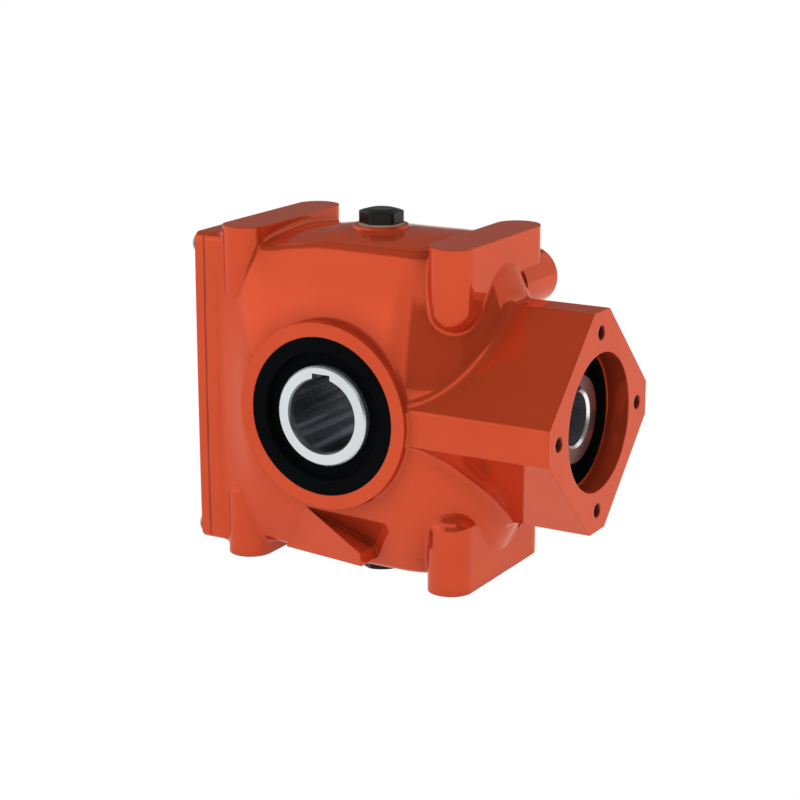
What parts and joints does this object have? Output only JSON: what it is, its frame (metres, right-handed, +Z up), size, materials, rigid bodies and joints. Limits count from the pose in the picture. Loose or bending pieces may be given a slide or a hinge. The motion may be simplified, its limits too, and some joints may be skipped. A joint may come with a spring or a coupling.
{
  "type": "gearbox",
  "caption": "Right-angle bevel gearbox: cast case with lugs above and below, keyed hollow output shaft across it, and a motor flange with a keyed hollow pinion on one side.",
  "frame": {"origin": "the point where the output shaft's axis and the input shaft's axis cross", "axes": "+X along the input shaft towards the motor, +Y along the output shaft away from the front face, +Z up from the mounting feet"},
  "size_m": [0.252, 0.1396, 0.2252],
  "materials": {
    "case_paint": "gloss",
    "black_oxide": "satin",
    "screw_steel": "satin",
    "seal_rubber": "matte",
    "washer_fibre": "matte",
    "gasket_fibre": "matte",
    "shaft_steel": "machined",
    "gear_steel": "ground",
    "bearing_steel": "ground",
    "spring_steel": "satin"
  },
  "bodies": {
    "case": {"housing": "case_paint", "side_cover": "case_paint", "cover_gasket": "gasket_fibre", "cover_screws": "screw_steel", "fill_plug": "black_oxide", "fill_plug_washer": "washer_fibre", "drain_plug": "black_oxide", "drain_plug_washer": "washer_fibre", "front_seal": "seal_rubber", "rear_seal": "seal_rubber", "input_seal": "seal_rubber", "front_bearing_cup": "bearing_steel", "rear_bearing_cup": "bearing_steel", "inner_pinion_bearing_cup": "bearing_steel", "outer_pinion_bearing_cup": "bearing_steel", "front_bore_ring": "spring_steel", "rear_bore_ring": "spring_steel", "input_bore_ring": "spring_steel"},
    "output_shaft": {"output_hub": "shaft_steel", "ring_gear": "gear_steel", "gear_key": "gear_steel", "spacer_sleeve": "shaft_steel", "front_bearing_cone": "bearing_steel", "rear_bearing_cone": "bearing_steel", "front_hub_ring": "spring_steel", "rear_hub_ring": "spring_steel"},
    "input_shaft": {"input_pinion": "gear_steel", "inner_pinion_bearing_cone": "bearing_steel", "outer_pinion_bearing_cone": "bearing_steel", "pinion_spacer": "shaft_steel", "pinion_ring": "spring_steel"},
    "front_rollers": {"front_bearing_rollers": "bearing_steel"},
    "rear_rollers": {"rear_bearing_rollers": "bearing_steel"},
    "inner_pinion_rollers": {"inner_pinion_bearing_rollers": "bearing_steel"},
    "outer_pinion_rollers": {"outer_pinion_bearing_rollers": "bearing_steel"}
  },
  "joints": [
    {"name": "output_spin", "type": "hinge", "parent": "case", "child": "output_shaft", "pos_m": [0, 0, 0], "axis": [0, 1, 0], "continuous": true},
    {"name": "input_spin", "type": "hinge", "parent": "case", "child": "input_shaft", "pos_m": [0.1, 0, 0], "axis": [1, 0, 0], "continuous": true},
    {"name": "front_rollers_spin", "type": "hinge", "parent": "case", "child": "front_rollers", "pos_m": [0, -0.05, 0], "axis": [0, 1, 0], "continuous": true},
    {"name": "rear_rollers_spin", "type": "hinge", "parent": "case", "child": "rear_rollers", "pos_m": [0, 0.05, 0], "axis": [0, 1, 0], "continuous": true},
    {"name": "inner_pinion_rollers_spin", "type": "hinge", "parent": "case", "child": "inner_pinion_rollers", "pos_m": [0.0885, 0, 0], "axis": [1, 0, 0], "continuous": true},
    {"name": "outer_pinion_rollers_spin", "type": "hinge", "parent": "case", "child": "outer_pinion_rollers", "pos_m": [0.1125, 0, 0], "axis": [1, 0, 0], "continuous": true}
  ],
  "couplings": [
    {"joint": "input_spin", "follows": "output_spin", "ratio": 2},
    {"joint": "front_rollers_spin", "follows": "output_spin", "ratio": 0.442},
    {"joint": "rear_rollers_spin", "follows": "output_spin", "ratio": 0.442},
    {"joint": "inner_pinion_rollers_spin", "follows": "output_spin", "ratio": 0.9015},
    {"joint": "outer_pinion_rollers_spin", "follows": "output_spin", "ratio": 0.9015}
  ]
}
